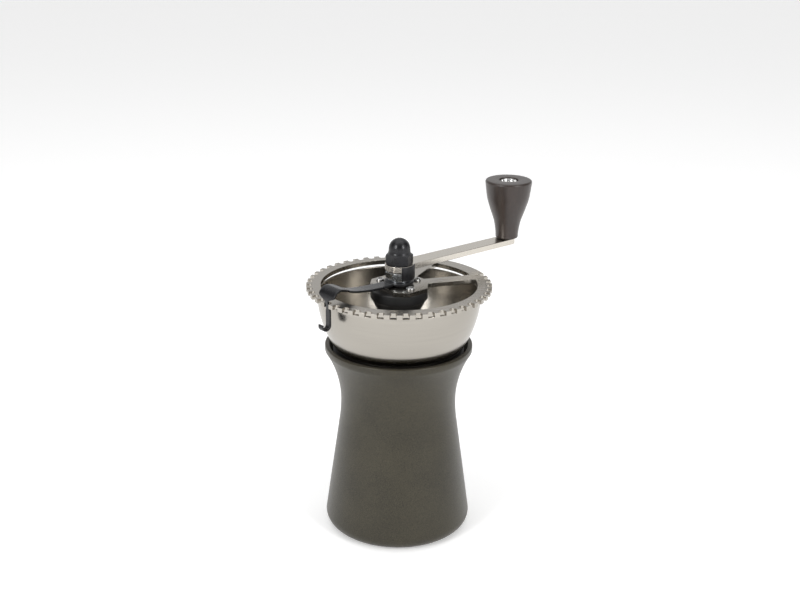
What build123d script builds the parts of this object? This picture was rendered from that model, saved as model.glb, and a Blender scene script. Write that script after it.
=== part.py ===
from build123d import *
import math
import os

# Hand crank coffee grinder.  Millimetres, +Z up, origin at the centre of the resting face.

# ---- driving dimensions -------------------------------------------------------------------
FIT = 0.03                 # running clearance of a shaft in its bush, radial
GAP = 0.35                 # clearance between pieces that come apart or pass each other

# waisted body that stands on the table and catches the grounds
BASE_H = 109.2
BASE_WALL = 3.6
BASE_FLOOR = 6.0
PAD_R = 34.4               # rubber pad the whole mill stands on
PAD_T = 1.8
UNDERSIDE = 0.4            # the shell stays this far above the table
FLANK_R = 42.15            # radius where the straight flank would meet the table
FOOT_EDGE_R = 6.0          # rounding between the flank and the underside
FLANK_SLOPE = 0.142        # radius lost per millimetre of height
NECK_R = 32.27
NECK_Z = 75.5
FLARE_R = 58.0             # radius of the curve that opens the mouth
MOUTH_Z = 106.0            # height where that curve ends
MOUTH_R = 40.98

# steel bean bowl
BOWL_TOP = 138.8
BOWL_CURVE_R = 58.5        # upper side of the bowl
BOWL_CURVE_C = (-13.5, 140.0)
BOWL_TURN_Z = 105.0        # where the side turns into the bottom
BOWL_CORNER_R = 14.0
BOWL_WALL = 1.0
BOWL_HOLE_R = 13.0
CLAMP_R = 17.2             # circle of the three screws under the bowl

# notched setting crown
CROWN_TOP = 143.4
CROWN_T = 2.5
CROWN_R = 50.8
CROWN_INNER_R = 42.9
PITCH_DEG = 7.5
PLAIN_PITCHES = 5          # pitches left without a notch, round the axis of symmetry
NOTCH_W = 3.6
NOTCH_DEPTH = 3.0
SYMMETRY_DEG = 41.6        # the crown is symmetric about this direction
SPOKE_OFF_DEG = 24.8
SPOKE_W = 8.0
HUB_APOTHEM = 15.8
MARK_DEG = 19.8            # engraved line that the setting is read from
SCREW_PLACES = ((-58.0, 11.3), (32.0, 11.3), (152.0, 11.8))   # direction and radius

# column in the middle of the bowl
CARRIER_R = 15.7
CARRIER_BAND_Z = 135.7
SLEEVE_R = 8.6
SLEEVE_TOP = 122.5
SLEEVE_BOTTOM = 110.0
BUSH_BOTTOM = 112.6
HOUSING_R = 23.0
HOUSING_BORE = 20.2
HOUSING_BOTTOM = 66.0

# drive line
SHAFT_R = 4.0
SHAFT_BOTTOM = 62.5
BOSS_R = 5.2
NUT_AF = 13.0
NUT_Z = (147.0, 150.3)

# crank
ARM_TOP = 154.9
ARM_T = 3.2
ARM_DEG = 39.5
ARM_R = 81.0               # shaft axis to knob axis
ARM_HUB_R = 7.9
ARM_W = (10.4, 9.6)        # width beside the hub and beside the knob
COLLAR_R = 8.55
CAP_HEX_H = 7.1
CAP_TOP = 169.3
KNOB_Z = (155.25, 189.5)

# lever, in the vertical plane opposite the axis of symmetry
LEVER_DEG = SYMMETRY_DEG + 180
LEVER_ROOT = (8.2, 144.95)  # radius and height
LEVER_CREST = (45.4, 150.85)
LEVER_T = 1.1
LEVER_W = 12.6
STEM_W = 2.2

ARM_BOTTOM = ARM_TOP - ARM_T
KNOB_X = ARM_R * math.cos(math.radians(ARM_DEG))
KNOB_Y = ARM_R * math.sin(math.radians(ARM_DEG))


# ---- helpers ------------------------------------------------------------------------------
def at(r, z):
    """A point of a turned profile, in the XZ plane."""
    return (r, 0, z)


def turned(*edges):
    """Solid of revolution about Z from the closed outline made by the edges."""
    return revolve(make_face(Curve() + list(edges)), Axis.Z)


def turned_outline(*points):
    """Solid of revolution about Z from a closed polygon of (radius, height)."""
    corners = [at(r, z) for r, z in points]
    return turned(Polyline(*corners, corners[0]))


def disc(r, z0, z1, hole=0.0):
    """A washer or a plain cylinder between two heights."""
    body = Pos(0, 0, (z0 + z1) / 2) * Cylinder(r, z1 - z0)
    if hole:
        body -= Pos(0, 0, (z0 + z1) / 2) * Cylinder(hole, z1 - z0 + 1)
    return body


def hexagon(across_flats, z0, z1, corner_deg):
    """Hexagonal bar between two heights, one corner pointing at corner_deg."""
    outline = RegularPolygon(across_flats / math.sqrt(3), 6)
    return Pos(0, 0, z0) * extrude(Rot(0, 0, corner_deg) * outline, z1 - z0)


def around(count, first_deg=0.0, step_deg=None):
    """Rotations about Z, evenly spread unless a step is given."""
    step = 360 / count if step_deg is None else step_deg
    return [Rot(0, 0, first_deg + i * step) for i in range(count)]


def joined(shapes):
    """Fuse a list of overlapping shapes."""
    whole = shapes[0]
    for shape in shapes[1:]:
        whole = whole + shape
    return whole


def circle_r(centre, radius, z, side=1):
    """Radius at height z of a circular arc given by its centre in the profile plane."""
    return centre[0] + side * math.sqrt(radius ** 2 - (z - centre[1]) ** 2)


# ---- body ---------------------------------------------------------------------------------
def flank_tangent(neck_r, extra):
    """Where the straight flank meets the neck curve, for the skin set in by extra."""
    lean = math.atan(FLANK_SLOPE)
    run = FLANK_R - FLANK_SLOPE * NECK_Z - NECK_R
    neck_curve = run / ((1 - math.cos(lean)) - FLANK_SLOPE * math.sin(lean)) + extra
    z = NECK_Z - neck_curve * math.sin(lean)
    r = neck_r + neck_curve * (1 - math.cos(lean))
    mid = lean / 2
    middle = (neck_r + neck_curve * (1 - math.cos(mid)), NECK_Z - neck_curve * math.sin(mid))
    return (r, z), middle


def skin(extra, z_low, z_high):
    """Edges of the body's side, set in by extra, from z_low up to z_high."""
    neck_r = NECK_R - extra
    (r_t, z_t), middle = flank_tangent(neck_r, extra)
    flare_c = (NECK_R + FLARE_R, NECK_Z)
    flare = FLARE_R + extra
    z_mid = (NECK_Z + z_high) / 2
    low = (r_t + FLANK_SLOPE * (z_t - z_low), z_low)
    high = (circle_r(flare_c, flare, z_high, -1), z_high)
    bend = (circle_r(flare_c, flare, z_mid, -1), z_mid)
    edges = [Line(at(*low), at(r_t, z_t)),
             ThreePointArc(at(r_t, z_t), at(*middle), at(neck_r, NECK_Z)),
             ThreePointArc(at(neck_r, NECK_Z), at(*bend), at(*high))]
    return edges, low, high


def base_shell():
    lean = math.atan(FLANK_SLOPE)
    edge_z = UNDERSIDE + FOOT_EDGE_R
    edge_r = FLANK_R - FLANK_SLOPE * edge_z - FOOT_EDGE_R / math.cos(lean)
    foot_mid = (edge_r + FOOT_EDGE_R * math.cos(math.pi / 4), edge_z - FOOT_EDGE_R * math.sin(math.pi / 4))
    outer, low, high = skin(0.0, edge_z + FOOT_EDGE_R * math.sin(lean), MOUTH_Z)
    inner, in_low, in_high = skin(BASE_WALL, BASE_FLOOR, BASE_H - 1.2)
    lip = (MOUTH_R, BASE_H - 1.5)
    top_out = (MOUTH_R - 1.5, BASE_H)
    top_in = (in_high[0] + 1.1, BASE_H)
    edge = 1.5 * (1 - math.cos(math.radians(45)))
    inner_edge = 1.15 * (1 - math.cos(math.radians(45)))
    foot = (edge_r, UNDERSIDE)
    outline = [
        Line(at(0, UNDERSIDE), at(*foot)),
        ThreePointArc(at(*foot), at(*foot_mid), at(*low)),
        *outer,
        Line(at(*high), at(*lip)),
        ThreePointArc(at(*lip), at(MOUTH_R - edge, BASE_H - edge), at(*top_out)),
        Line(at(*top_out), at(*top_in)),
        ThreePointArc(at(*top_in), at(in_high[0] + inner_edge, BASE_H - inner_edge), at(*in_high)),
        *inner,
        Line(at(*in_low), at(0, BASE_FLOOR)),
        Line(at(0, BASE_FLOOR), at(0, UNDERSIDE)),
    ]
    return turned(*outline) - disc(PAD_R + 0.1, -1, PAD_T)


def foot_pad():
    return turned_outline((0, 0), (PAD_R - 0.5, 0), (PAD_R, 0.5), (PAD_R, PAD_T), (0, PAD_T))


def grounds_liner():
    """Thin cup that lines the body from its floor to just under the neck."""
    z0, z1, t = BASE_FLOOR, 58.0, 1.2
    low = skin(BASE_WALL + 0.1, z0, MOUTH_Z)[1][0]
    side = low - FLANK_SLOPE * 0.8
    top = low - FLANK_SLOPE * (z1 - z0)
    return turned_outline((0, z0), (low - 0.9, z0), (side, z0 + 0.8), (top, z1), (top - t, z1),
                          (side - t, z0 + t), (0, z0 + t))


def bowl_side(extra, z):
    """Radius of the bowl's outer side, grown by extra, at height z."""
    return circle_r(BOWL_CURVE_C, BOWL_CURVE_R + extra, z)


def bowl_seat():
    """Ring inside the mouth that carries the bowl."""
    z0, z1 = 99.5, 106.6
    flare_c = (NECK_R + FLARE_R, NECK_Z)
    flare = FLARE_R + BASE_WALL + 0.05
    outer = [(circle_r(flare_c, flare, z, -1), z) for z in (z0, (z0 + z1) / 2, z1)]
    rest_z = BOWL_TURN_Z + 0.2
    ring = turned(
        ThreePointArc(*[at(*p) for p in outer]),
        Line(at(*outer[2]), at(bowl_side(GAP, z1), z1)),
        Line(at(bowl_side(GAP, z1), z1), at(bowl_side(GAP, rest_z), rest_z)),
        Line(at(bowl_side(GAP, rest_z), rest_z), at(outer[0][0] - 1.6, z0)),
        Line(at(outer[0][0] - 1.6, z0), at(*outer[0])),
    )
    vent = Pos(outer[2][0], 0, z1) * Box(3.0, 5.0, 2.4)
    for turn in around(12, 15):
        ring -= turn * vent
    return ring


# ---- bowl and what is fixed to it ---------------------------------------------------------
def bowl_profile(extra):
    """Edges of the bowl's skin from the rim to the flat bottom, set in by extra."""
    c1, r1 = BOWL_CURVE_C, BOWL_CURVE_R - extra
    turn = math.asin((BOWL_CURVE_C[1] - BOWL_TURN_Z) / BOWL_CURVE_R)
    ux, uz = math.cos(turn), -math.sin(turn)
    p1 = (c1[0] + r1 * ux, c1[1] + r1 * uz)
    r2 = BOWL_CORNER_R - extra
    reach = BOWL_CURVE_R - BOWL_CORNER_R
    c2 = (c1[0] + reach * ux, c1[1] + reach * uz)
    half = (turn + math.pi / 2) / 2
    p2 = (c2[0] + r2 * math.cos(half), c2[1] - r2 * math.sin(half))
    p3 = (c2[0], c2[1] - r2)
    z_mid = (BOWL_TOP + p1[1]) / 2
    top = (circle_r(c1, r1, BOWL_TOP), BOWL_TOP)
    mid = (circle_r(c1, r1, z_mid), z_mid)
    edges = [ThreePointArc(at(*top), at(*mid), at(*p1)), ThreePointArc(at(*p1), at(*p2), at(*p3))]
    return edges, top, p3


def bowl():
    outer, top, floor = bowl_profile(0.0)
    inner, in_top, in_floor = bowl_profile(BOWL_WALL)
    hole_out = (BOWL_HOLE_R, floor[1])
    hole_in = (BOWL_HOLE_R, in_floor[1])
    crest = ((top[0] + in_top[0]) / 2, BOWL_TOP + BOWL_WALL / 2)
    shell = turned(
        *outer,
        Line(at(*floor), at(*hole_out)),
        Line(at(*hole_out), at(*hole_in)),
        Line(at(*hole_in), at(*in_floor)),
        *inner,
        ThreePointArc(at(*in_top), at(*crest), at(*top)),
    )
    return shell - clamp_holes(floor[1] - 1, floor[1] + 3)


def clamp_holes(z0, z1):
    """Clearance holes for the three screws under the bowl."""
    hole = Pos(CLAMP_R, 0, (z0 + z1) / 2) * Cylinder(1.5, z1 - z0)
    return joined([turn * hole for turn in around(3, 90)])


def bowl_floor_z():
    return bowl_profile(0.0)[2][1]


def bowl_gasket():
    z1 = bowl_floor_z()
    return disc(20.0, z1 - 0.9, z1, hole=13.6) - clamp_holes(z1 - 2, z1 + 1)


def burr_housing():
    """Cup under the bowl that holds the outer burr; its open foot lets the grounds fall."""
    z1 = bowl_floor_z() - 0.9
    z0 = HOUSING_BOTTOM
    body = turned_outline((13.6, z1), (20.0, z1), (HOUSING_R, z1 - 2.5), (HOUSING_R, z0), (HOUSING_BORE, z0),
                          (HOUSING_BORE, z1 - 5.0), (13.6, z1 - 5.0))
    spider = disc(8.0, z0, z0 + 4.0, hole=6.0)
    for turn in around(3, 30):
        spider += turn * (Pos(14.2, 0, z0 + 2.0) * Box(13.2, 3.6, 4.0))
    bosses = joined([turn * Pos(CLAMP_R, 0, z1 - 5.0) * Cylinder(2.6, 6.0) for turn in around(3, 90)])
    return body + spider + bosses - clamp_holes(z1 - 10, z1 + 1)


def outer_burr():
    """Steel ring with an inward cone and slanted cutting ribs."""
    z0, z1 = HOUSING_BOTTOM + 6.0, HOUSING_BOTTOM + 20.0
    ring = turned_outline((HOUSING_BORE, z0), (HOUSING_BORE, z1), (12.4, z1), (14.6, z0 + 4.0), (14.6, z0))
    groove = Pos(13.6, 0, (z0 + z1) / 2) * Rot(22, -7, 0) * Box(2.4, 1.0, z1 - z0 + 4)
    for turn in around(18):
        ring -= turn * groove
    return ring


def housing_screws():
    """Three screws that clamp the bowl between the column's foot and the housing."""
    head_z = bowl_floor_z() - 0.9 - 8.0
    end_z = bowl_floor_z() + BOWL_WALL + 5.0
    screws = []
    for turn in around(3, 90):
        head = disc(2.4, head_z - 2.2, head_z)
        stem = disc(1.45, head_z - 0.1, end_z)
        screws.append(turn * Pos(CLAMP_R, 0, 0) * (head + stem))
    return screws


def lower_bush():
    z0 = HOUSING_BOTTOM
    return disc(6.0, z0 - 0.6, z0 + 4.6, hole=SHAFT_R + FIT)


def bearing_carrier():
    """Black column in the bowl: cup at the top, sleeve below, three legs on the bowl's floor."""
    z_top = CROWN_TOP - CROWN_T
    z_floor = bowl_floor_z() + BOWL_WALL
    body = turned_outline((6.5, z_top), (CARRIER_R - 0.5, z_top), (CARRIER_R, z_top - 0.6),
                          (CARRIER_R, CARRIER_BAND_Z), (CARRIER_R - 0.8, CARRIER_BAND_Z - 1.2),
                          (SLEEVE_R, SLEEVE_TOP), (SLEEVE_R, SLEEVE_BOTTOM), (7.1, SLEEVE_BOTTOM),
                          (7.1, BUSH_BOTTOM), (6.5, BUSH_BOTTOM))
    rib = make_face(Polyline(at(7.1, z_floor), at(20.6, z_floor), at(20.6, z_floor + 4), at(8.0, 116.0),
                             at(8.0, SLEEVE_BOTTOM + 1), at(7.1, SLEEVE_BOTTOM + 1), at(7.1, z_floor)))
    leg = extrude(rib, 2.0, both=True) + Pos(CLAMP_R, 0, 0) * disc(3.4, z_floor, z_floor + 6.0)
    for turn in around(3, 90):
        body += turn * leg
    body -= disc(7.1, z_floor - 1, BUSH_BOTTOM)
    body -= clamp_holes(z_floor - 1, z_floor + 5.2)
    for deg, r in SCREW_PLACES:
        body -= Rot(0, 0, deg) * Pos(r, 0, 0) * disc(1.55, z_top - 4.0, z_top + 1)
    return body


def upper_bush():
    z1 = CROWN_TOP - CROWN_T
    return (disc(6.5, BUSH_BOTTOM, 120.0, hole=SHAFT_R + FIT) + disc(6.5, z1 - 8.0, z1, hole=SHAFT_R + FIT)
            + disc(6.5, 119.0, z1 - 7.0, hole=5.6))


def crown_outline():
    ring = Circle(CROWN_R) - Circle(CROWN_INNER_R)
    hub = Rot(0, 0, SYMMETRY_DEG + 22.5) * RegularPolygon(HUB_APOTHEM / math.cos(math.pi / 8), 8)
    notch = Pos(CROWN_R - NOTCH_DEPTH + 5.0, 0) * RectangleRounded(10.0, NOTCH_W, 1.25)
    plate = ring + hub
    for side in (-1, 1):
        spoke = Pos(29.5, 0) * Rectangle(29.0, SPOKE_W)
        plate += Rot(0, 0, SYMMETRY_DEG + side * SPOKE_OFF_DEG) * spoke
    roots = [v for v in plate.vertices() if abs(math.hypot(v.X, v.Y) - CROWN_INNER_R) < 0.6]
    plate = fillet(roots, 1.6)
    count = round(360 / PITCH_DEG) - PLAIN_PITCHES
    first = SYMMETRY_DEG + (PLAIN_PITCHES + 1) / 2 * PITCH_DEG
    for turn in around(count, first, PITCH_DEG):
        plate -= turn * notch
    window = Rot(0, 0, LEVER_DEG) * Pos(16.3, 0) * Rectangle(10.0, 19.0)
    plate -= window
    plate -= Circle(6.0)
    tips = [v for v in plate.vertices() if abs(math.hypot(v.X, v.Y) - CROWN_R) < 0.05]
    return fillet(tips, 0.5)


def crown():
    plate = Pos(0, 0, CROWN_TOP - CROWN_T) * extrude(crown_outline(), CROWN_T)
    for deg, r in SCREW_PLACES:
        plate -= Rot(0, 0, deg) * Pos(r, 0, CROWN_TOP) * Cylinder(1.6, 12)
    mark = Rot(0, 0, MARK_DEG) * Pos(44.7, 0, CROWN_TOP) * Box(5.0, 0.6, 0.5)
    return plate - mark


def crown_screws():
    """Three pan-head screws with a six-lobe socket that hold the crown on the column."""
    screws = []
    lobes = Circle(0.95)
    for turn in around(6):
        lobes += turn * Pos(0.95, 0) * Circle(0.38)
    for deg, r in SCREW_PLACES:
        head = Pos(0, 0, CROWN_TOP + 0.65) * Cylinder(2.35, 1.3)
        head = fillet(head.edges().sort_by(Axis.Z)[-1], 0.6)
        stem = Pos(0, 0, CROWN_TOP - 3.0) * Cylinder(1.5, 6.0)
        socket = Pos(0, 0, CROWN_TOP + 0.45) * extrude(lobes, 2)
        screws.append(Rot(0, 0, deg) * Pos(r, 0, 0) * (head + stem - socket))
    return screws


def threaded_boss():
    """Fixed boss on which the adjusting nut climbs."""
    z0 = CROWN_TOP - CROWN_T
    boss = disc(5.95, z0, CROWN_TOP + 0.4, hole=SHAFT_R + 0.2) \
        + disc(BOSS_R, CROWN_TOP, NUT_Z[1] - 1.0, hole=SHAFT_R + 0.2)
    return boss


# ---- setting ------------------------------------------------------------------------------
def adjusting_nut():
    z0, z1 = NUT_Z
    body = hexagon(NUT_AF, z0, z1, 0.5) & turned_outline(
        (0, z0), (6.9, z0), (7.6, z0 + 0.5), (7.6, z1 - 0.5), (6.9, z1), (0, z1))
    body += disc(6.3, z0 - 1.5, z0)
    return body - disc(BOSS_R + FIT, z0 - 3, z1 + 1)


def lever_ring():
    """Ring under the nut that carries the lever round with it."""
    z1 = NUT_Z[0] - 1.5
    return disc(8.2, z1 - LEVER_T, z1, hole=BOSS_R + FIT)


def side_strip(path):
    """Strip of spring steel whose centre line, seen from the side, is the given path."""
    return extrude(Plane.XZ * trace(path, LEVER_T), LEVER_W / 2, both=True)


def lever_leaf():
    """Spring leaf from its root to the crest of the hump; it widens towards the hump."""
    strip = side_strip(Spline(LEVER_ROOT, (16.0, 145.0), (27.0, 145.8), (36.0, 147.4), (41.0, 149.7),
                              LEVER_CREST, tangents=[(1, 0), (1, 0)]))
    half = LEVER_W / 2
    end = LEVER_CREST[0] - 0.3
    plan = make_face(Polyline((0, -4.3), (36, -3.9), (41.5, -half), (end, -half), (end, half), (41.5, half),
                              (36, 3.9), (0, 4.3), (0, -4.3)))
    return Rot(0, 0, LEVER_DEG) * (strip & Pos(0, 0, 130) * extrude(plan, 40))


def lever_hook():
    """From the crest down through the notch to the curled end that a finger pulls."""
    over = JernArc(LEVER_CREST, (1, 0), 5.1, -105)
    slant = Line(over @ 1, over @ 1 + (over % 1) * 2.6)
    straighten = JernArc(slant @ 1, slant % 1, 8.0, 15)
    drop = Line(straighten @ 1, (49.35, 131.5))
    curl = JernArc(drop @ 1, (0, -1), 2.5, 200)
    strip = joined([side_strip(edge) for edge in (over, slant, straighten, drop, curl)])
    half, neck = LEVER_W / 2, STEM_W / 2
    wide_z, neck_z = 147.2, 143.8
    low_z, low = CROWN_TOP - CROWN_T - 0.4, neck + 0.3
    right = Spline((half, wide_z), (neck + 1.9, wide_z - 2.0), (neck, neck_z), tangents=[(0, -1), (0, -1)])
    left = Spline((-neck, neck_z), (-neck - 1.9, wide_z - 2.0), (-half, wide_z), tangents=[(0, 1), (0, 1)])
    head = Polyline((-half, wide_z), (-half, 160), (half, 160), (half, wide_z))
    foot = Polyline((neck, neck_z), (neck, low_z), (low, low_z - 1), (low, 120), (-low, 120), (-low, low_z - 1),
                    (-neck, low_z), (-neck, neck_z))
    mask = make_face(Curve() + [right, foot, left, head])
    mask = Plane(origin=(40, 0, 0), x_dir=(0, 1, 0), z_dir=(1, 0, 0)) * mask
    return Rot(0, 0, LEVER_DEG) * (strip & extrude(mask, 30))


# ---- crank --------------------------------------------------------------------------------
def drive_shaft():
    top = CAP_TOP - 4.0
    shaft = disc(SHAFT_R, SHAFT_BOTTOM, top)
    flat = Pos(0, 0, (ARM_BOTTOM + ARM_TOP) / 2)
    flats = flat * Box(20, 20, ARM_T) - flat * Rot(0, 0, ARM_DEG) * Box(20, 6.4, ARM_T + 1)
    return shaft - flats


def inner_burr():
    """Conical cutter with slanted ribs, keyed to the shaft."""
    z0, z1 = HOUSING_BOTTOM + 6.4, HOUSING_BOTTOM + 22.0
    cone = turned_outline((SHAFT_R, z0), (13.4, z0), (13.4, z0 + 3.0), (6.6, z1), (SHAFT_R, z1))
    groove = Pos(11.0, 0, (z0 + z1) / 2 + 1.5) * Rot(-26, -24, 0) * Box(3.2, 1.2, z1 - z0 + 4)
    for turn in around(12):
        cone -= turn * groove
    return cone


def burr_washer():
    return disc(8.6, HOUSING_BOTTOM + 22.0, HOUSING_BOTTOM + 23.2, hole=SHAFT_R)


def burr_clip():
    """Snap ring under the washer stack that keeps the cone on the shaft."""
    z1 = HOUSING_BOTTOM + 6.4
    return disc(6.6, z1 - 1.2, z1, hole=SHAFT_R) - Pos(5, 0, z1) * Box(6, 1.6, 6)


def lift_spring():
    """Compression spring between the upper bearing and the cutter."""
    z0, z1, turns, wire = HOUSING_BOTTOM + 24.1, 111.4, 5, 0.7
    path = Helix(pitch=(z1 - z0) / turns, height=z1 - z0, radius=5.6)
    start = Plane(origin=path @ 0, z_dir=path % 0)
    coil = sweep(start * Circle(wire), path)
    return Pos(0, 0, z0) * coil


def thrust_washer():
    return disc(6.4, NUT_Z[1] + 0.1, NUT_Z[1] + 0.6, hole=SHAFT_R)


def crank_collar():
    """Black sleeve with two ears that embrace the arm's round end."""
    z0, z_floor = NUT_Z[0], NUT_Z[1] + 0.6
    wall = disc(COLLAR_R, z0, ARM_TOP, hole=ARM_HUB_R)
    keep = None
    for side in (-1, 1):
        points = [(0, 0)] + [(20 * math.cos(math.radians(a)), 20 * math.sin(math.radians(a)))
                             for a in (42.5, 80.0, 119.5)]
        if side < 0:
            points = [(x, -y) for x, y in points]
        wedge = extrude(make_face(Polyline(*points, points[0])), 40)
        wedge = Pos(0, 0, 130) * wedge
        keep = wedge if keep is None else keep + wedge
    wall = wall & Rot(0, 0, ARM_DEG) * keep
    return wall + disc(COLLAR_R - 0.1, z_floor, ARM_BOTTOM, hole=SHAFT_R)


def crank_arm():
    tip = Pos(ARM_R, 0) * Circle(ARM_W[1] / 2)
    bar = make_face(Polyline((0, -ARM_W[0] / 2), (ARM_R, -ARM_W[1] / 2), (ARM_R, ARM_W[1] / 2),
                             (0, ARM_W[0] / 2), (0, -ARM_W[0] / 2)))
    hub_hole = Circle(SHAFT_R) & Rectangle(20, 6.4)
    outline = Circle(ARM_HUB_R) + bar + tip - hub_hole - Pos(ARM_R, 0) * Circle(2.5)
    arm = extrude(outline, ARM_T)
    rim = [e for e in arm.edges() if e.geom_type != GeomType.LINE or abs(e.tangent_at(0.5).Z) < 0.5]
    outer = [e for e in rim if min(math.hypot(v.X, v.Y) for v in e.vertices()) > 4.5
             and min(math.hypot(v.X - ARM_R, v.Y) for v in e.vertices()) > 3.0]
    arm = chamfer(outer, 0.3)
    return Rot(0, 0, ARM_DEG) * Pos(0, 0, ARM_BOTTOM) * arm


def cap_nut():
    """Domed hexagon nut that holds the crank on the shaft."""
    z0, z1 = ARM_TOP, ARM_TOP + CAP_HEX_H
    chamfered = turned_outline((0, z0), (7.0, z0), (7.6, z0 + 0.5), (7.6, z1 - 1.0), (6.2, z1), (0, z1))
    dome = disc(6.0, z1 - 0.5, CAP_TOP + 1) & Pos(0, 0, CAP_TOP - 6.25) * Sphere(6.25)
    bore = disc(SHAFT_R, z0 - 1, CAP_TOP - 4.0)
    return (hexagon(NUT_AF, z0, z1, 7.5) & chamfered) + dome - bore


def knob_spindle():
    """Shouldered screw riveted in the arm; its cupped head sits in the knob's recess."""
    z0, z1 = KNOB_Z
    head_z = z1 - 3.4
    pin = disc(2.5, ARM_BOTTOM, z0 - 0.15) + disc(2.2, z0 - 0.5, head_z)
    foot = disc(3.6, ARM_BOTTOM - 0.9, ARM_BOTTOM)
    shoulder = disc(4.0, ARM_TOP, z0 - 0.15)
    cup = disc(4.75, head_z, z1 - 0.5) - disc(4.2, head_z + 1.2, z1 + 1)
    lobes = Circle(1.5)
    for turn in around(6):
        lobes += turn * Pos(1.5, 0) * Circle(0.6)
    button = disc(2.9, head_z + 1.0, head_z + 2.0) - Pos(0, 0, head_z + 1.1) * extrude(lobes, 3)
    return Pos(KNOB_X, KNOB_Y, 0) * (pin + foot + shoulder + cup + button)


# ---- knob ---------------------------------------------------------------------------------
def knob():
    z0, z1 = KNOB_Z
    side = Spline(at(6.5, z0 + 0.6), at(6.75, 159.5), at(7.8, 165.4), at(10.2, 172.4), at(12.1, 178.8),
                  at(13.15, 186.0), at(13.4, z1 - 1.2), tangents=[(0, 0, 1), (0.05, 0, 1)])
    body = turned(
        Line(at(4.3, z0), at(6.0, z0)),
        ThreePointArc(at(6.0, z0), at(6.35, z0 + 0.2), at(6.5, z0 + 0.6)),
        side,
        ThreePointArc(at(13.4, z1 - 1.2), at(13.15, z1 - 0.35), at(12.5, z1)),
        Line(at(12.5, z1), at(5.7, z1)),
        ThreePointArc(at(5.7, z1), at(5.45, z1 - 0.1), at(5.35, z1 - 0.4)),
        Line(at(5.35, z1 - 0.4), at(5.35, z1 - 3.9)),
        Line(at(5.35, z1 - 3.9), at(3.3, z1 - 3.9)),
        Line(at(3.3, z1 - 3.9), at(3.3, z0 + 2.0)),
        Line(at(3.3, z0 + 2.0), at(4.3, z0 + 2.0)),
        Line(at(4.3, z0 + 2.0), at(4.3, z0)),
    )
    return Pos(KNOB_X, KNOB_Y, 0) * body


def knob_bush():
    z0, z1 = KNOB_Z
    bush = disc(3.3, z0 + 0.1, z1 - 3.9, hole=2.2 + FIT) + disc(4.3, z0 + 0.1, z0 + 2.0, hole=2.2 + FIT)
    return Pos(KNOB_X, KNOB_Y, 0) * bush


PARTS = {
    "base_shell": base_shell, "foot_pad": foot_pad, "grounds_liner": grounds_liner, "bowl_seat": bowl_seat,
    "bowl": bowl, "bowl_gasket": bowl_gasket, "burr_housing": burr_housing, "outer_burr": outer_burr,
    "housing_screws": housing_screws, "lower_bush": lower_bush, "bearing_carrier": bearing_carrier,
    "upper_bush": upper_bush, "crown": crown, "crown_screws": crown_screws, "threaded_boss": threaded_boss,
    "adjusting_nut": adjusting_nut, "lever_ring": lever_ring, "lever_leaf": lever_leaf, "lever_hook": lever_hook,
    "drive_shaft": drive_shaft, "inner_burr": inner_burr, "burr_washer": burr_washer, "burr_clip": burr_clip,
    "lift_spring": lift_spring, "thrust_washer": thrust_washer, "crank_collar": crank_collar,
    "crank_arm": crank_arm, "cap_nut": cap_nut, "knob_spindle": knob_spindle,
    "knob": knob, "knob_bush": knob_bush,
}

os.makedirs("parts", exist_ok=True)
for name, make in PARTS.items():
    shape = make()
    if isinstance(shape, list):
        shape = Compound(children=shape)
    shape.label = name
    export_step(shape, f"parts/{name}.step")
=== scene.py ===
import math

import bmesh
import bpy
from bpy.props import FloatProperty, FloatVectorProperty, PointerProperty
from mathutils import Matrix, Vector


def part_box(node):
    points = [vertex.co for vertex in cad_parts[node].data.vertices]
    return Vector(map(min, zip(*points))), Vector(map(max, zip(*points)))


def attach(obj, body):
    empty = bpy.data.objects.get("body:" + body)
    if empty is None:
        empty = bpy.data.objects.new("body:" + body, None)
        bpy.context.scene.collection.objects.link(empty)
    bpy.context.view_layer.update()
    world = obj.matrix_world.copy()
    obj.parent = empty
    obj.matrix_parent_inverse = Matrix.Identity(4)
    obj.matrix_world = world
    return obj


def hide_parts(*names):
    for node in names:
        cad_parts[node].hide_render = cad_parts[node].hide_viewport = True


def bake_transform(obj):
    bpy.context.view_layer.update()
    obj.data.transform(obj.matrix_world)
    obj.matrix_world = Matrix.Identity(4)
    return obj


bl_info = {
    "name": "Hand Crank Coffee Grinder",
    "version": (1, 0, 0),
    "blender": (4, 5, 0),
    "location": "View3D > Sidebar > Grinder",
    "description": "Builds a hand crank coffee grinder round its packed CAD model",
    "category": "Add Mesh",
}

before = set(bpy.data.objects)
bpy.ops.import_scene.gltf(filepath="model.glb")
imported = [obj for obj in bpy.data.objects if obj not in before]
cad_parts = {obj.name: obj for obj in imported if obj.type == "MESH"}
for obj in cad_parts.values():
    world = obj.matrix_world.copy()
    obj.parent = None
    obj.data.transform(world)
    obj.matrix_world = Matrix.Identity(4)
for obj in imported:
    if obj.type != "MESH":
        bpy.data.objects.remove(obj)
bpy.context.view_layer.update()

MM = 0.001                 # lengths below are in millimetres
TURN = 2 * math.pi


# ---- sizes read from the frame ------------------------------------------------------------
def reach(node):
    """Lowest and highest z of a CAD node, and half its width along X, in millimetres."""
    low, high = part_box(node)
    return low.z / MM, high.z / MM, (high.x - low.x) / 2 / MM


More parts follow.
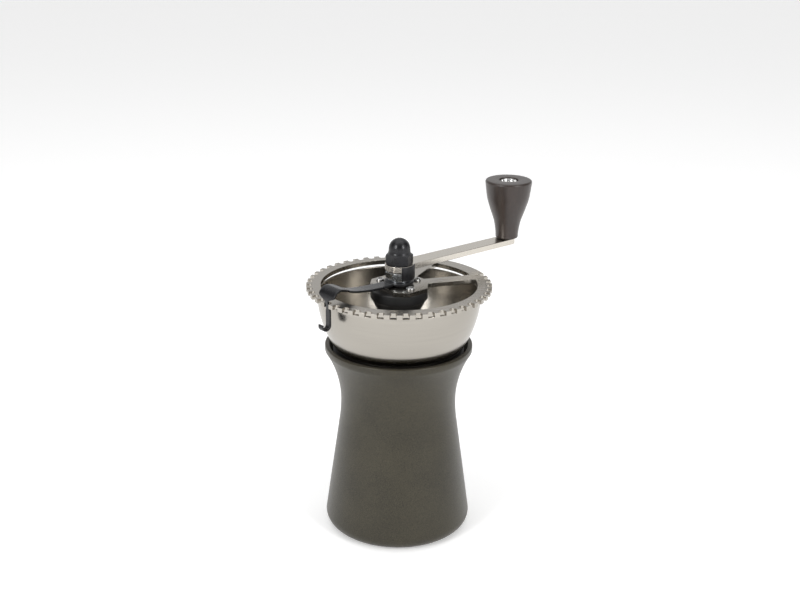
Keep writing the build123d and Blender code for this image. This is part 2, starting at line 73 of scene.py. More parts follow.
BASE_Z0, BASE_TOP, BASE_R = reach("base_shell")
_, BOWL_TOP, _ = reach("bowl")
CROWN_Z0, CROWN_Z1, CROWN_R = reach("crown")
CARRIER_Z0, CARRIER_Z1, _ = reach("bearing_carrier")
NUT_Z0, NUT_Z1, _ = reach("adjusting_nut")
ARM_Z0, ARM_Z1, _ = reach("crank_arm")
COLLAR_Z0, COLLAR_Z1, COLLAR_R = reach("crank_collar")
CAP_Z0, CAP_Z1, _ = reach("cap_nut")
KNOB_Z0, KNOB_Z1, KNOB_R = reach("knob")
KNOB_LOW, KNOB_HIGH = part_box("knob")
KNOB_X = (KNOB_LOW.x + KNOB_HIGH.x) / 2 / MM
KNOB_Y = (KNOB_LOW.y + KNOB_HIGH.y) / 2 / MM
ARM_ANGLE = math.atan2(KNOB_Y, KNOB_X)
ARM_REACH = math.hypot(KNOB_X, KNOB_Y)

SYMMETRY = math.radians(41.6)     # the crown is symmetric about this direction
LEVER_ANGLE = SYMMETRY + math.pi
PITCH = math.radians(7.5)
PLAIN_PITCHES = 5
FLANK_R = 42.15           # radius where the straight flank would meet the table
MOUTH_R = 40.96           # radius of the body's lip
MOUTH_Z = 106.0           # height where the body's flared side ends
EAR_SWEEP = math.radians(77.0)
EAR_STARTS = {"left": 42.5, "right": -119.5}      # degrees round from the arm
LEVER_CREST = (45.4, 150.85)                      # radius and height of the hump
LEVER_BEND = 5.1                                  # radius of the bend over the hump


# ---- what a user may change ---------------------------------------------------------------
class GrinderSizes(bpy.types.PropertyGroup):
    """Sizes of the visible pieces."""
    shell_wall: FloatProperty(name="Shell wall", description="Thickness of the body's wall, in mm", default=3.6)
    shell_neck: FloatProperty(name="Neck radius", description="Radius of the body's waist, in mm", default=32.27)
    flank_slope: FloatProperty(name="Flank slope", description="Radius lost per mm of height", default=0.142)
    foot_edge: FloatProperty(name="Foot edge", description="Rounding round the body's foot, in mm", default=6.0)
    bowl_wall: FloatProperty(name="Bowl wall", description="Thickness of the steel bowl, in mm", default=1.0)
    notch_width: FloatProperty(name="Notch width", description="Width of a notch in the crown, in mm", default=3.6)
    notch_depth: FloatProperty(name="Notch depth", description="Depth of a notch in the crown, in mm", default=3.0)
    nut_flats: FloatProperty(name="Nut size", description="Across flats of both hexagons, in mm", default=13.0)
    arm_width: FloatProperty(name="Arm width", description="Width of the crank beside its hub, in mm", default=10.4)
    lever_width: FloatProperty(name="Lever width", description="Width of the lever's hump, in mm", default=12.6)
    soft_edge: FloatProperty(name="Soft edge", description="Radius of the steel edges, in mm", default=0.22)


class GrinderColours(bpy.types.PropertyGroup):
    """Colours of the finishes."""
    lacquer: FloatVectorProperty(name="Lacquer", description="Colour of the body", subtype="COLOR",
                                 size=3, min=0, max=1, default=(0.035, 0.030, 0.0175))
    steel: FloatVectorProperty(name="Steel", description="Colour of the brushed steel", subtype="COLOR",
                               size=3, min=0, max=1, default=(0.57, 0.535, 0.48))
    black: FloatVectorProperty(name="Black", description="Colour of the blackened metal", subtype="COLOR",
                               size=3, min=0, max=1, default=(0.014, 0.014, 0.016))
    knob: FloatVectorProperty(name="Knob", description="Colour of the knob", subtype="COLOR",
                              size=3, min=0, max=1, default=(0.025, 0.015, 0.011))
    zinc: FloatVectorProperty(name="Zinc", description="Colour of the plated nut", subtype="COLOR",
                              size=3, min=0, max=1, default=(0.72, 0.76, 0.78))


# ---- mesh helpers -------------------------------------------------------------------------
def arc(cx, cz, radius, start_deg, end_deg, steps):
    """Points along a circular arc of a profile, both ends included."""
    points = []
    for i in range(steps + 1):
        a = math.radians(start_deg + (end_deg - start_deg) * i / steps)
        r = cx + radius * math.cos(a)
        points.append((0.0 if abs(r) < 1e-9 else r, cz + radius * math.sin(a)))
    return points


def rounded(corners, steps=5):
    """Closed outline whose corners, given as (x, y, radius), are rounded."""
    points = []
    count = len(corners)
    for i, (x, y, radius) in enumerate(corners):
        here = Vector((x, y))
        if radius <= 0:
            points.append((x, y))
            continue
        before = (Vector(corners[i - 1][:2]) - here).normalized()
        after = (Vector(corners[(i + 1) % count][:2]) - here).normalized()
        half = before.angle(after) / 2
        centre = here + (before + after).normalized() * radius / math.sin(half)
        first = here + before * radius / math.tan(half)
        last = here + after * radius / math.tan(half)
        a0 = math.atan2(first.y - centre.y, first.x - centre.x)
        a1 = math.atan2(last.y - centre.y, last.x - centre.x)
        sweep = (a1 - a0 + math.pi) % TURN - math.pi
        for k in range(steps + 1):
            a = a0 + sweep * k / steps
            points.append((centre.x + radius * math.cos(a), centre.y + radius * math.sin(a)))
    return points


def turned(bm, outline, steps=144, centre=(0.0, 0.0), sweep=TURN, start=0.0):
    """Spin a closed outline of (radius, z) about a vertical axis through centre."""
    turn = Matrix.Rotation(start, 3, "Z")
    shift = Vector((centre[0] * MM, centre[1] * MM, 0))
    verts = [bm.verts.new(turn @ Vector((r * MM, 0, z * MM)) + shift) for r, z in outline]
    full = abs(sweep - TURN) < 1e-9
    if full:
        centre_line = [abs(r) < 1e-9 for r, _ in outline]
        pairs = zip(range(len(verts)), list(range(1, len(verts))) + [0])
        geom = verts + [bm.edges.new((verts[i], verts[k])) for i, k in pairs
                        if not (centre_line[i] and centre_line[k])]
    else:
        geom = [bm.faces.new(verts)]
        geom += verts + list(geom[0].edges)
    bmesh.ops.spin(bm, geom=geom, cent=shift, axis=(0, 0, 1), angle=sweep, steps=steps,
                   use_merge=full, use_duplicate=False)


def prism(bm, outline, z0, z1, place=Matrix.Identity(4)):
    """Upright prism from a closed outline of (x, y)."""
    face = bm.faces.new([bm.verts.new(place @ Vector((x * MM, y * MM, z0 * MM))) for x, y in outline])
    made = bmesh.ops.extrude_face_region(bm, geom=[face])
    lift = place.to_3x3() @ Vector((0, 0, (z1 - z0) * MM))
    bmesh.ops.translate(bm, verts=[v for v in made["geom"] if isinstance(v, bmesh.types.BMVert)], vec=lift)


def tidied(bm):
    """Merge doubles and point the faces outwards."""
    bmesh.ops.remove_doubles(bm, verts=bm.verts, dist=2e-7)
    bmesh.ops.recalc_face_normals(bm, faces=bm.faces)
    if bm.calc_volume(signed=True) < 0:
        bmesh.ops.reverse_faces(bm, faces=bm.faces)


def as_object_open(bm, name):
    """A mesh as an object, with its faces left as they are turned."""
    mesh = bpy.data.meshes.new(name)
    bm.to_mesh(mesh)
    bm.free()
    piece = bpy.data.objects.new(name, mesh)
    bpy.context.scene.collection.objects.link(piece)
    return piece


def as_object(bm, name):
    """A closed mesh as an object, cleaned and facing outwards."""
    tidied(bm)
    return as_object_open(bm, name)


def rod(name, radius, z0, z1, steps):
    """Upright round bar on the axis, to cut a hole with."""
    bm = bmesh.new()
    turned(bm, [(0, z0), (radius, z0), (radius, z1), (0, z1)], steps)
    return as_object(bm, name)


def through(knots, steps):
    """Smooth line of points through knots, without the last one."""
    points = []
    for i in range(len(knots) - 1):
        p0, p1, p2, p3 = knots[max(i - 1, 0)], knots[i], knots[i + 1], knots[min(i + 2, len(knots) - 1)]
        for k in range(steps):
            t = k / steps
            points.append(tuple(
                0.5 * (2 * b + (c - a) * t + (2 * a - 5 * b + 4 * c - d) * t * t + (3 * b - a - 3 * c + d) * t ** 3)
                for a, b, c, d in zip(p0, p1, p2, p3)))
    return points


def baked(piece):
    """Apply a piece's modifiers to its mesh."""
    bpy.context.view_layer.update()
    graph = bpy.context.evaluated_depsgraph_get()
    mesh = bpy.data.meshes.new_from_object(piece.evaluated_get(graph))
    old = piece.data
    piece.modifiers.clear()
    piece.data = mesh
    bpy.data.meshes.remove(old)
    return piece


def combined(piece, operation, other):
    """Boolean of two closed pieces; the second one is used up."""
    cut = piece.modifiers.new("cut", "BOOLEAN")
    cut.operation = operation
    cut.solver = "EXACT"
    cut.object = other
    baked(piece)
    bpy.data.objects.remove(other)
    return piece


def softened(piece, width, segments=2, angle_deg=30):
    """Round the edges sharper than an angle."""
    bevel = piece.modifiers.new("edges", "BEVEL")
    bevel.width = width * MM
    bevel.segments = segments
    bevel.limit_method = "ANGLE"
    bevel.angle_limit = math.radians(angle_deg)
    bevel.harden_normals = True
    bevel.use_clamp_overlap = True
    for poly in piece.data.polygons:
        poly.use_smooth = True
    return baked(piece)


def settle(piece, body, material, nodes, sharp_deg=38):
    """Give a finished piece its finish and its place in the model."""
    piece.data.materials.clear()
    piece.data.materials.append(material)
    for poly in piece.data.polygons:
        poly.use_smooth = True
    if sharp_deg:
        piece.data.set_sharp_from_angle(angle=math.radians(sharp_deg))
    if body:
        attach(piece, body)
    if nodes:
        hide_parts(*nodes)
    return piece


# ---- material helpers ---------------------------------------------------------------------
class Nodes:
    """A material with its shader and a short way to add and join nodes."""

    def __init__(self, name, colour, metallic, roughness):
        self.material = bpy.data.materials.new(name)
        self.material.use_nodes = True
        self.tree = self.material.node_tree
        self.shader = self.tree.nodes["Principled BSDF"]
        self.set("Base Color", (*colour, 1))
        self.set("Metallic", metallic)
        self.set("Roughness", roughness)

    def set(self, socket, value):
        self.shader.inputs[socket].default_value = value

    def add(self, kind, **settings):
        node = self.tree.nodes.new(kind)
        for key, value in settings.items():
            setattr(node, key, value)
        return node

    def join(self, source, target):
        self.tree.links.new(source, target)

    def maths(self, operation, first, second=None, clamp=False):
        node = self.add("ShaderNodeMath", operation=operation, use_clamp=clamp)
        for i, value in enumerate((first, second)):
            if isinstance(value, (int, float)):
                node.inputs[i].default_value = value
            elif value is not None:
                self.join(value, node.inputs[i])
        return node.outputs[0]

    def place(self):
        return self.add("ShaderNodeTexCoord").outputs["Object"]

    def noise(self, vector, scale, detail=2.0, rough=0.5):
        node = self.add("ShaderNodeTexNoise")
        node.inputs["Scale"].default_value = scale
        node.inputs["Detail"].default_value = detail
        node.inputs["Roughness"].default_value = rough
        self.join(vector, node.inputs["Vector"])
        return node.outputs["Fac"]

    def spread(self, value, low, high, to_low, to_high):
        node = self.add("ShaderNodeMapRange")
        for socket, number in zip(("From Min", "From Max", "To Min", "To Max"), (low, high, to_low, to_high)):
            node.inputs[socket].default_value = number
        self.join(value, node.inputs["Value"])
        return node.outputs["Result"]

    def tint(self, factor, dark, light):
        """Base colour between two colours."""
        mix = self.add("ShaderNodeMix", data_type="RGBA")
        self.join(factor, mix.inputs["Factor"])
        mix.inputs[6].default_value = (*dark, 1)
        mix.inputs[7].default_value = (*light, 1)
        self.join(mix.outputs[2], self.shader.inputs["Base Color"])

    def bump(self, height, strength, distance, before=None):
        node = self.add("ShaderNodeBump")
        node.inputs["Strength"].default_value = strength
        node.inputs["Distance"].default_value = distance * MM
        self.join(height, node.inputs["Height"])
        if before is not None:
            self.join(before, node.inputs["Normal"])
        return node.outputs["Normal"]

    def normal(self, socket):
        self.join(socket, self.shader.inputs["Normal"])


def shade(colour, factor):
    return tuple(min(1.0, c * factor) for c in colour)


def round_grain(make, across, along):
    """Coordinates for lines that run round the Z axis: across is lines per metre."""
    place = make.place()
    flat = make.add("ShaderNodeVectorMath", operation="MULTIPLY")
    flat.inputs[1].default_value = (1, 1, 0)
    make.join(place, flat.inputs[0])
    length = make.add("ShaderNodeVectorMath", operation="LENGTH")
    make.join(flat.outputs[0], length.inputs[0])
    heading = make.add("ShaderNodeVectorMath", operation="NORMALIZE")
    make.join(flat.outputs[0], heading.inputs[0])
    parts = make.add("ShaderNodeSeparateXYZ")
    make.join(place, parts.inputs[0])
    lines = make.maths("MULTIPLY", make.maths("ADD", parts.outputs["Z"], length.outputs["Value"]), across)
    slow = make.add("ShaderNodeVectorMath", operation="SCALE")
    slow.inputs["Scale"].default_value = along
    make.join(heading.outputs[0], slow.inputs[0])
    shift = make.add("ShaderNodeCombineXYZ")
    make.join(lines, shift.inputs["Z"])
    total = make.add("ShaderNodeVectorMath", operation="ADD")
    make.join(slow.outputs[0], total.inputs[0])
    make.join(shift.outputs[0], total.inputs[1])
    return total.outputs[0]


def straight_grain(make, angle, scale):
    """Coordinates for straight lines: scale holds the frequencies along, across and up."""
    mapping = make.add("ShaderNodeMapping")
    mapping.inputs["Rotation"].default_value = (0, 0, angle)
    mapping.inputs["Scale"].default_value = scale
    make.join(make.place(), mapping.inputs["Vector"])
    return mapping.outputs["Vector"]


def brushed(make, colour, grain, rough, depth, contrast=0.06):
    """Fine lines in height, roughness and tone."""
    fine = make.noise(grain, 1.0, 3.0, 0.6)
    make.join(make.spread(fine, 0.3, 0.7, *rough), make.shader.inputs["Roughness"])
    make.tint(make.spread(fine, 0.25, 0.75, 0.0, 1.0), shade(colour, 1 - contrast), shade(colour, 1 + contrast))
    make.normal(make.bump(fine, 0.25, depth))


# ---- finishes -----------------------------------------------------------------------------
def lacquer_finish(name, colour):
    """Satin metallic lacquer: fine flecks under a soft clear coat."""
    make = Nodes(name, colour, 0.35, 0.42)
    place = make.place()
    fleck = make.noise(place, 3400.0, 1.0)
    cloud = make.noise(place, 38.0, 4.0, 0.6)
    both = make.maths("ADD", make.maths("MULTIPLY", fleck, 0.75), make.maths("MULTIPLY", cloud, 0.25))
    make.tint(make.spread(both, 0.38, 0.62, 0.0, 1.0), shade(colour, 0.55), shade(colour, 1.5))
    make.join(make.spread(fleck, 0.3, 0.7, 0.47, 0.36), make.shader.inputs["Roughness"])
    peel = make.noise(place, 900.0, 2.0)
    make.normal(make.bump(fleck, 0.16, 0.02, make.bump(peel, 0.12, 0.03)))
    make.set("Coat Weight", 0.18)
    make.set("Coat Roughness", 0.24)
    return make.material


def bowl_finish(name, colour):
    make = Nodes(name, colour, 1.0, 0.3)
    brushed(make, colour, round_grain(make, 3800.0, 1.2), (0.2, 0.27), 0.006, 0.08)
    make.set("Anisotropic", 0.4)
    return make.material


def crown_finish(name, colour):
    make = Nodes(name, colour, 1.0, 0.3)
    brushed(make, colour, straight_grain(make, -SYMMETRY, (16.0, 3200.0, 3200.0)), (0.22, 0.28), 0.005, 0.06)
    return make.material


def arm_finish(name, colour):
    """Ground steel: lines straight across the arm, faint on its polished top."""
    make = Nodes(name, colour, 1.0, 0.25)
    brushed(make, colour, straight_grain(make, -ARM_ANGLE, (2600.0, 14.0, 10.0)), (0.2, 0.23), 0.002, 0.03)
    return make.material


def black_finish(name, colour, rough=0.36):
    """Blackened steel: fine even grain, a little lighter where it was handled."""
    make = Nodes(name, colour, 0.5, rough)
    place = make.place()
    grain = make.noise(place, 3600.0, 2.0)
    wear = make.noise(place, 160.0, 4.0, 0.6)
    make.tint(make.spread(wear, 0.35, 0.7, 0.0, 1.0), shade(colour, 0.8), shade(colour, 1.55))
    make.join(make.spread(wear, 0.3, 0.7, rough - 0.05, rough + 0.09), make.shader.inputs["Roughness"])
    make.normal(make.bump(grain, 0.12, 0.01))
    make.set("Specular IOR Level", 0.75)
    return make.material


def zinc_finish(name, colour):
    make = Nodes(name, colour, 1.0, 0.2)
    place = make.place()
    flow = make.noise(place, 150.0, 2.0)
    make.tint(make.spread(flow, 0.3, 0.7, 0.0, 1.0), shade(colour, 0.94), shade(colour, 1.05))
    make.join(make.spread(flow, 0.3, 0.7, 0.12, 0.2), make.shader.inputs["Roughness"])
    make.normal(make.bump(make.noise(place, 900.0, 2.0), 0.04, 0.01))
    return make.material


def bright_finish(name, tone):
    """Plain turned steel."""
    make = Nodes(name, (tone, tone, tone), 1.0, 0.2)
    grain = make.noise(round_grain(make, 5000.0, 1.5), 1.0, 2.0)
    make.join(make.spread(grain, 0.3, 0.7, 0.14, 0.28), make.shader.inputs["Roughness"])
    make.tint(make.spread(grain, 0.3, 0.7, 0.0, 1.0), (tone * 0.88,) * 3, (tone * 1.05, tone * 1.04, tone * 1.02))
    make.normal(make.bump(grain, 0.15, 0.01))
    return make.material


def knob_finish(name, colour):
    """Satin stained wood under a thin coat, with a faint upright grain."""
    make = Nodes(name, colour, 0.0, 0.36)
    grain = make.noise(straight_grain(make, 0.4, (520.0, 520.0, 26.0)), 1.0, 4.0, 0.6)
    pore = make.noise(make.place(), 2600.0, 2.0)
    make.tint(make.spread(grain, 0.3, 0.72, 0.0, 1.0), shade(colour, 0.78), shade(colour, 1.3))
    make.join(make.spread(pore, 0.3, 0.7, 0.31, 0.41), make.shader.inputs["Roughness"])
    make.normal(make.bump(pore, 0.12, 0.03, make.bump(grain, 0.1, 0.03)))
    make.set("Coat Weight", 0.3)
    make.set("Coat Roughness", 0.35)
    return make.material


def moulded_finish(name, tone, rough=0.45):
    """Moulded plastic or rubber with a spark-eroded grain."""
    make = Nodes(name, (tone, tone, tone * 1.03), 0.0, rough)
    place = make.place()
    grain = make.noise(place, 2400.0, 2.0)
    make.tint(make.spread(make.noise(place, 90.0, 3.0), 0.3, 0.7, 0.0, 1.0), (tone * 0.8,) * 3, (tone * 1.25,) * 3)
    make.join(make.spread(grain, 0.3, 0.7, rough - 0.06, rough + 0.08), make.shader.inputs["Roughness"])
    make.normal(make.bump(grain, 0.25, 0.03))
    return make.material


def bronze_finish(name):
    make = Nodes(name, (0.45, 0.29, 0.14), 1.0, 0.4)
    pore = make.noise(make.place(), 3000.0, 3.0)
    make.tint(make.spread(pore, 0.3, 0.7, 0.0, 1.0), (0.3, 0.18, 0.08), (0.56, 0.38, 0.2))
    make.join(make.spread(pore, 0.3, 0.7, 0.34, 0.5), make.shader.inputs["Roughness"])
    make.normal(make.bump(pore, 0.3, 0.02))
    return make.material


FINISH = {}


# ---- pieces -------------------------------------------------------------------------------
class GRINDER_OT_finishes(bpy.types.Operator):
    """Make the finishes that the pieces share"""
    bl_idname = "grinder.finishes"
    bl_label = "Finishes"

    def execute(self, context):
        colours = context.scene.grinder_colours
        FINISH["lacquer"] = lacquer_finish("satin_lacquer", tuple(colours.lacquer))
        # painted shade and painted highlight: the bowl and crown get darker copies of the steel colour and the arm a
        # lighter one, set to how bright each part looks under the light
        FINISH["bowl"] = bowl_finish("brushed_bowl_steel", shade(colours.steel, 0.68))
        FINISH["crown"] = crown_finish("brushed_crown_steel", shade(colours.steel, 0.74))
        FINISH["arm"] = arm_finish("ground_arm_steel", shade(colours.steel, 1.12))
        FINISH["black"] = black_finish("blackened_steel", tuple(colours.black))
        FINISH["gloss"] = black_finish("polished_black_steel", tuple(colours.black), 0.26)
        FINISH["zinc"] = zinc_finish("zinc_plating", tuple(colours.zinc))
        FINISH["bright"] = bright_finish("turned_steel", 0.7)
        FINISH["screw"] = bright_finish("screw_steel", 0.5)
        FINISH["burr"] = bright_finish("hardened_steel", 0.38)
        FINISH["bronze"] = bronze_finish("sintered_bronze")
        FINISH["knob"] = knob_finish("stained_knob", tuple(colours.knob))
        FINISH["plastic"] = moulded_finish("black_moulding", 0.018)
        FINISH["sleeve"] = moulded_finish("pale_bearing_moulding", 0.6)
        FINISH["rubber"] = moulded_finish("black_rubber", 0.014, 0.7)
        return {"FINISHED"}


def side_curve(sizes, inset, z_low, z_high):
    """The body's side, set in by inset: straight flank, waist and flared mouth."""
    neck_z, flare = 75.5, 58.0
    lean = math.atan(sizes.flank_slope)
    run = FLANK_R - sizes.flank_slope * neck_z - sizes.shell_neck
    bend = run / ((1 - math.cos(lean)) - sizes.flank_slope * math.sin(lean)) + inset
    neck = sizes.shell_neck - inset
    z_t = neck_z - bend * math.sin(lean)
    r_t = neck + bend * (1 - math.cos(lean))
    points = []
    for i in range(13):
        z = z_low + (z_t - z_low) * i / 13
        points.append((r_t + sizes.flank_slope * (z_t - z), z))
    points += arc(neck + bend, neck_z, bend, 180 + math.degrees(lean), 180, 8)
    end = math.degrees(math.asin((z_high - neck_z) / (flare + inset)))
    points += arc(sizes.shell_neck + flare, neck_z, flare + inset, 180, 180 - end, 22)[1:]
    return points


class GRINDER_OT_body(bpy.types.Operator):
    """Waisted body with its rounded lip"""
    bl_idname = "grinder.body"
    bl_label = "Body"

    def execute(self, context):
        sizes = context.scene.grinder_sizes
        under, edge, floor = BASE_Z0, sizes.foot_edge, 6.0
        recess_r, recess_z = 34.5, 1.8
        lip_edge, inner_edge = 0.7, 0.9
        lean = math.atan(sizes.flank_slope)
        edge_z = under + edge
        edge_r = FLANK_R - sizes.flank_slope * edge_z - edge / math.cos(lean)
        outer = side_curve(sizes, 0.0, edge_z + edge * math.sin(lean), MOUTH_Z)
        inner = side_curve(sizes, sizes.shell_wall, floor, BASE_TOP - inner_edge)
        lip = arc(MOUTH_R - lip_edge, BASE_TOP - lip_edge, lip_edge, 0, 90, 9)
        inside = arc(inner[-1][0] + inner_edge, BASE_TOP - inner_edge, inner_edge, 90, 180, 6)
        outline = [(0, recess_z), (recess_r, recess_z), (recess_r, under)]
        outline += arc(edge_r, edge_z, edge, -90, math.degrees(lean), 12)
        outline += outer[1:] + lip + inside + inner[::-1][1:] + [(0, floor)]
        bm = bmesh.new()
        turned(bm, outline, steps=192)
        settle(as_object(bm, "waisted_body"), "base", FINISH["lacquer"], ["base_shell"], 42)
        return {"FINISHED"}


class GRINDER_OT_seat(bpy.types.Operator):
    """Black ring in the mouth that the bowl rests in"""
    bl_idname = "grinder.seat"
    bl_label = "Bowl seat"

    def execute(self, context):
        low, high, radius = reach("bowl_seat")
        outline = rounded([(radius - 3.1, low, 0.4), (radius - 3.9, low, 0.4), (radius - 3.2, 105.2, 0.0),
                           (radius - 2.6, high, 0.5), (radius - 0.15, high, 0.5), (radius - 1.5, 103.0, 0.0)])
        bm = bmesh.new()
        turned(bm, outline, steps=144)
        settle(as_object(bm, "mouth_ring"), "base", FINISH["plastic"], ["bowl_seat"])
        return {"FINISHED"}


class GRINDER_OT_bowl(bpy.types.Operator):
    """Brushed steel bowl: one thin skin with a rounded rim"""
    bl_idname = "grinder.bowl"
    bl_label = "Bean bowl"

    def execute(self, context):
        wall = context.scene.grinder_sizes.bowl_wall
        cx, cz, big, corner, turn_z = -13.5, 140.0, 58.5, 14.0, 105.0
        start = math.degrees(math.asin((BOWL_TOP - wall / 2 - cz) / big))
        turn = math.degrees(math.asin((turn_z - cz) / big))
        reach_in = big - corner
        lx = cx + reach_in * math.cos(math.radians(turn))
        lz = cz + reach_in * math.sin(math.radians(turn))

        def skin(inset):
            side = arc(cx, cz, big - inset, start, turn, 30)
            return side + arc(lx, lz, corner - inset, turn, -90, 14)[1:]

        outer, inner = skin(0.0), skin(wall)
        hole = 13.0
        rim_r = (outer[0][0] + inner[0][0]) / 2
        rim = arc(rim_r, outer[0][1], wall / 2, 0, 180, 6)
        outline = rim[1:-1] + inner + [(hole, inner[-1][1]), (hole, outer[-1][1])] + outer[::-1]
        bm = bmesh.new()
        turned(bm, outline, steps=192)
        settle(as_object(bm, "bean_bowl"), "mill", FINISH["bowl"], ["bowl"], 50)
        return {"FINISHED"}


def notch_cutter(sizes):
    """All notches of the crown as one cutting tool."""
    bm = bmesh.new()
    half, deep = sizes.notch_width / 2, CROWN_R - sizes.notch_depth
    outline = rounded([(deep, -half, 1.25), (CROWN_R + 4, -half, 0), (CROWN_R + 4, half, 0), (deep, half, 1.25)], 4)
    count = round(TURN / PITCH) - PLAIN_PITCHES
    first = SYMMETRY + (PLAIN_PITCHES + 1) / 2 * PITCH
    for i in range(count):
        prism(bm, outline, CROWN_Z0 - 2, CROWN_Z1 + 2, Matrix.Rotation(first + i * PITCH, 4, "Z"))
    return as_object(bm, "notches")


SCREWS = ((-58.0, 11.3), (32.0, 11.3), (152.0, 11.8))     # direction and distance from the shaft


class GRINDER_OT_crown(bpy.types.Operator):
    """Flat notched crown with its two spokes and hub"""
    bl_idname = "grinder.crown"
    bl_label = "Crown"

    def execute(self, context):
        sizes = context.scene.grinder_sizes
        inner_r, spoke_half, hub = 42.9, 4.0, 15.8 / math.cos(math.pi / 8)
        bm = bmesh.new()
        turned(bm, [(inner_r, CROWN_Z0), (CROWN_R, CROWN_Z0), (CROWN_R, CROWN_Z1), (inner_r, CROWN_Z1)], steps=240)
        crown = as_object(bm, "setting_crown")
        bm = bmesh.new()
        corners = [SYMMETRY + math.radians(22.5 + 45 * i) for i in range(8)]
        octagon = [(hub * math.cos(a), hub * math.sin(a)) for a in corners]
        prism(bm, octagon, CROWN_Z0, CROWN_Z1)
        combined(crown, "UNION", as_object(bm, "hub"))
        flare = 1.8
        for side in (-1, 1):
            bm = bmesh.new()
            end = inner_r + 1.2
            outline = rounded([(12, -spoke_half, 0), (end - 3.6, -spoke_half, 5.0),
                               (end, -spoke_half - flare, 0), (end, spoke_half + flare, 0),
                               (end - 3.6, spoke_half, 5.0), (12, spoke_half, 0)])
            spin = Matrix.Rotation(SYMMETRY + side * math.radians(24.8), 4, "Z")
            prism(bm, outline, CROWN_Z0, CROWN_Z1, spin)
            combined(crown, "UNION", as_object(bm, "spoke"))
        combined(crown, "DIFFERENCE", notch_cutter(sizes))
        bm = bmesh.new()
        window = [(11.3, -9.5), (21.3, -9.5), (21.3, 9.5), (11.3, 9.5)]
        prism(bm, window, CROWN_Z0 - 1, CROWN_Z1 + 1, Matrix.Rotation(LEVER_ANGLE, 4, "Z"))
        mark = [(42.3, -0.35), (47.2, -0.35), (47.2, 0.35), (42.3, 0.35)]
        prism(bm, mark, CROWN_Z1 - 0.5, CROWN_Z1 + 1, Matrix.Rotation(math.radians(19.8), 4, "Z"))
        combined(crown, "DIFFERENCE", as_object(bm, "window"))
        combined(crown, "DIFFERENCE", rod("bore", 6.0, CROWN_Z0 - 1, CROWN_Z1 + 1, 64))
        softened(crown, sizes.soft_edge)
        settle(crown, "mill", FINISH["crown"], ["crown"], 0)
        return {"FINISHED"}


def six_lobe(radius):
    """Outline of a six-lobe socket."""
    points = []
    for i in range(72):
        a = TURN * i / 72
        r = radius * (1 + 0.16 * math.cos(6 * a))
        points.append((r * math.cos(a), r * math.sin(a)))
    return points


def screw_head(name, centre, z0, radius, height, socket):
    """Pan head with a six-lobe socket."""
    bm = bmesh.new()
    crown_z = z0 + height
    outline = [(0, z0), (radius, z0)] + arc(radius - 0.75, crown_z - 0.85, 0.75, 0, 75, 6) + [(0, crown_z)]
    turned(bm, outline, steps=48, centre=centre)
    head = as_object(bm, name)
    bm = bmesh.new()
    prism(bm, six_lobe(socket), crown_z - 0.75, crown_z + 1, Matrix.Translation(
        (centre[0] * MM, centre[1] * MM, 0)))
    return combined(head, "DIFFERENCE", as_object(bm, "socket"))


class GRINDER_OT_screws(bpy.types.Operator):
    """Three pan-head screws that hold the crown"""
    bl_idname = "grinder.screws"
    bl_label = "Crown screws"

    def execute(self, context):
        low = reach("crown_screws")[0]
        for i, (deg, r) in enumerate(SCREWS):
            centre = (r * math.cos(math.radians(deg)), r * math.sin(math.radians(deg)))
            head = screw_head(f"crown_screw_{i + 1}", centre, CROWN_Z1 + 0.02, 2.35, 1.25, 1.15)
            bm = bmesh.new()
            top = CROWN_Z1 + 0.3
            turned(bm, [(0, low), (1.2, low), (1.5, low + 0.5), (1.5, top), (0, top)], 32, centre)
            combined(head, "UNION", as_object(bm, "stem"))
            softened(head, 0.08, 2, 40)
            settle(head, "mill", FINISH["screw"], ["crown_screws"] if i == 0 else [], 0)
        return {"FINISHED"}


class GRINDER_OT_column(bpy.types.Operator):
    """Black column in the bowl, with its cup, sleeve and three legs"""
    bl_idname = "grinder.column"
    bl_label = "Column"

    def execute(self, context):
        top, floor = CARRIER_Z1, CARRIER_Z0
        bm = bmesh.new()
        outline = rounded([(6.6, top, 0), (15.7, top, 0.5), (15.7, 135.7, 0.5), (14.7, 134.4, 0.4),
                           (8.7, 122.3, 2.5), (8.6, 110.0, 0.4), (7.1, 110.0, 0), (7.1, 112.6, 0),
                           (6.6, 112.6, 0)], 4)
        turned(bm, outline, steps=128)
        column = as_object(bm, "bearing_column")
        for i in range(3):
            spin = Matrix.Rotation(math.radians(90 + 120 * i), 4, "Z")
            bm = bmesh.new()
            stand = spin @ Matrix.Translation((0, 0.002, 0)) @ Matrix.Rotation(math.pi / 2, 4, "X")
            leg = [(7.3, floor), (20.6, floor), (20.6, floor + 4), (8.3, 115.5), (8.0, 112.0), (7.3, 111.0)]
            prism(bm, leg, 0, 4, stand)
            combined(column, "UNION", as_object(bm, "leg"))
            bm = bmesh.new()
            centre = spin @ Vector((17.2, 0, 0))
            turned(bm, [(0, floor), (3.4, floor), (3.4, floor + 6), (0, floor + 6)], 32, (centre.x, centre.y))
            combined(column, "UNION", as_object(bm, "boss"))
        softened(column, 0.25, 2, 35)
        settle(column, "mill", FINISH["plastic"], ["bearing_carrier"], 0)
        return {"FINISHED"}


class GRINDER_OT_boss(bpy.types.Operator):
    """Fixed threaded boss under the nut"""
    bl_idname = "grinder.boss"
    bl_label = "Threaded boss"

    def execute(self, context):
        low, high, _ = reach("threaded_boss")
        outline = [(4.2, low), (5.9, low), (5.9, CROWN_Z1 + 0.4), (5.15, CROWN_Z1 + 0.6)]
        z = CROWN_Z1 + 1.0
        while z < high - 0.8:
            outline += [(5.17, z), (4.8, z + 0.3), (4.8, z + 0.4), (5.17, z + 0.7)]
            z += 0.8
        outline += [(4.9, high), (4.2, high)]
        bm = bmesh.new()
        turned(bm, outline, steps=64)
        settle(as_object(bm, "threaded_neck"), "mill", FINISH["black"], ["threaded_boss"])
        return {"FINISHED"}


